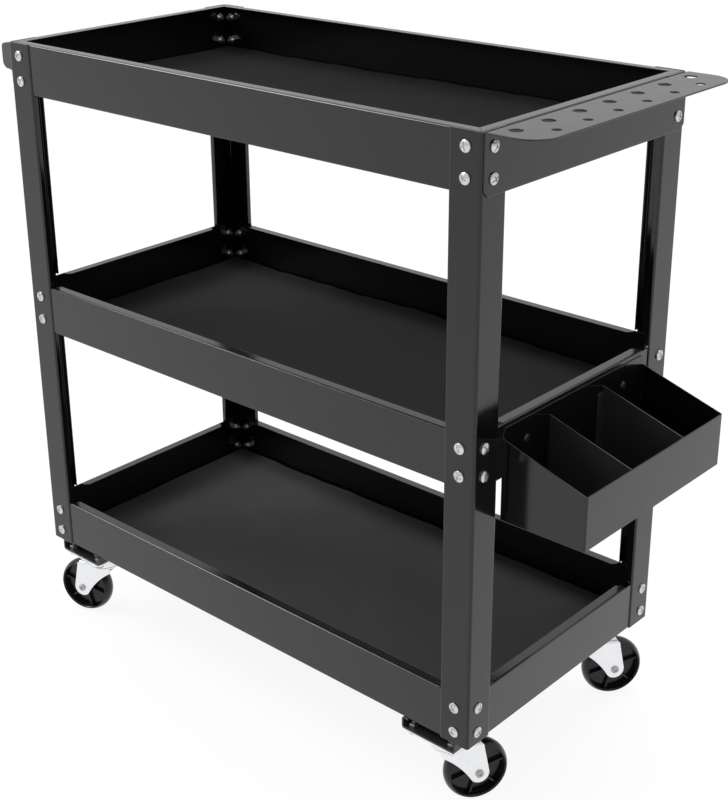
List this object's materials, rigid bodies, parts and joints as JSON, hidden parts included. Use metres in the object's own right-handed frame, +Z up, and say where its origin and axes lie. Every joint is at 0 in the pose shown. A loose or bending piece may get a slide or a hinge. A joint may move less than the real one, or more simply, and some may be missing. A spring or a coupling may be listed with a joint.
{
  "type": "tool cart",
  "caption": "Rolling tool cart with stacked open trays on bolted sheet-steel legs, a perforated tool shelf and side bin at one end, a handle at the other, and swivel casters.",
  "frame": {"origin": "on the floor, under the centre of the whole footprint, with the casters parked as modelled; the frame's own middle is 25.75 mm towards -X and 8.21 mm towards -Y from it", "axes": "+X along the trays towards the tool shelf and side bin, -X is the handle end, -Y is the front long side, +Z up"},
  "size_m": [0.8476, 0.3732, 0.775],
  "materials": {
    "black_powder_coat": "glossy black powder coat on steel sheet, slight orange peel",
    "rubber_mat": "dull dark grey ribless rubber sheet",
    "handle_plastic": "matte dark grey moulded plastic",
    "wheel_rubber": "hard black moulded rubber, semi-gloss",
    "bearing_steel": "polished bearing steel",
    "black_screw": "black screw",
    "zinc_fastener": "bright zinc plate",
    "rivet_steel": "plain steel rivet, slightly dull",
    "zinc_caster": "bright zinc plate on stamped steel"
  },
  "bodies": {
    "frame": {"leg_front_left": "black_powder_coat", "leg_front_right": "black_powder_coat", "leg_back_left": "black_powder_coat", "leg_back_right": "black_powder_coat", "top_tray": "black_powder_coat", "middle_tray": "black_powder_coat", "bottom_tray": "black_powder_coat", "top_mat": "rubber_mat", "middle_mat": "rubber_mat", "bottom_mat": "rubber_mat", "handle": "handle_plastic", "tool_holder": "black_powder_coat", "bin_shell": "black_powder_coat", "bin_divider_front": "black_powder_coat", "bin_divider_back": "black_powder_coat", "caster_channel_left": "black_powder_coat", "caster_channel_right": "black_powder_coat", "caster_plate_front_left": "zinc_caster", "caster_plate_front_right": "zinc_caster", "caster_plate_back_left": "zinc_caster", "caster_plate_back_right": "zinc_caster", "swivel_balls": "bearing_steel", "kingpins": "rivet_steel", "leg_screws": "zinc_fastener", "holder_screws": "zinc_fastener", "handle_screws": "zinc_fastener", "leg_nuts": "zinc_fastener", "bin_screws": "black_screw", "bin_nuts": "zinc_fastener", "caster_bolts": "zinc_fastener", "caster_nuts": "zinc_fastener"},
    "swivel_front_left": {"fork_front_left": "zinc_caster", "axle_front_left": "rivet_steel", "sleeve_front_left": "rivet_steel"},
    "wheel_front_left_body": {"wheel_front_left": "wheel_rubber"},
    "swivel_front_right": {"fork_front_right": "zinc_caster", "axle_front_right": "rivet_steel", "sleeve_front_right": "rivet_steel"},
    "wheel_front_right_body": {"wheel_front_right": "wheel_rubber"},
    "swivel_back_left": {"fork_back_left": "zinc_caster", "axle_back_left": "rivet_steel", "sleeve_back_left": "rivet_steel"},
    "wheel_back_left_body": {"wheel_back_left": "wheel_rubber"},
    "swivel_back_right": {"fork_back_right": "zinc_caster", "axle_back_right": "rivet_steel", "sleeve_back_right": "rivet_steel"},
    "wheel_back_right_body": {"wheel_back_right": "wheel_rubber"}
  },
  "joints": [
    {"name": "swivel_front_left_turn", "type": "hinge", "parent": "frame", "child": "swivel_front_left", "pos_m": [-0.32175, -0.14421, 0.0785], "axis": [0, 0, 1], "continuous": true},
    {"name": "wheel_front_left_roll", "type": "hinge", "parent": "swivel_front_left", "child": "wheel_front_left_body", "pos_m": [-0.35123, -0.15379, 0.0375], "axis": [0.309, -0.9511, 0], "continuous": true},
    {"name": "swivel_front_right_turn", "type": "hinge", "parent": "frame", "child": "swivel_front_right", "pos_m": [0.27025, -0.14421, 0.0785], "axis": [0, 0, 1], "continuous": true},
    {"name": "wheel_front_right_roll", "type": "hinge", "parent": "swivel_front_right", "child": "wheel_front_right_body", "pos_m": [0.28575, -0.11737, 0.0375], "axis": [-0.866, 0.5, 0], "continuous": true},
    {"name": "swivel_back_left_turn", "type": "hinge", "parent": "frame", "child": "swivel_back_left", "pos_m": [-0.32175, 0.12779, 0.0785], "axis": [0, 0, 1], "continuous": true},
    {"name": "wheel_back_left_roll", "type": "hinge", "parent": "swivel_back_left", "child": "wheel_back_left_body", "pos_m": [-0.3486, 0.11229, 0.0375], "axis": [0.5, -0.866, 0], "continuous": true},
    {"name": "swivel_back_right_turn", "type": "hinge", "parent": "frame", "child": "swivel_back_right", "pos_m": [0.27025, 0.12779, 0.0785], "axis": [0, 0, 1], "continuous": true},
    {"name": "wheel_back_right_roll", "type": "hinge", "parent": "swivel_back_right", "child": "wheel_back_right_body", "pos_m": [0.28803, 0.15318, 0.0375], "axis": [-0.8192, 0.5736, 0], "continuous": true}
  ]
}
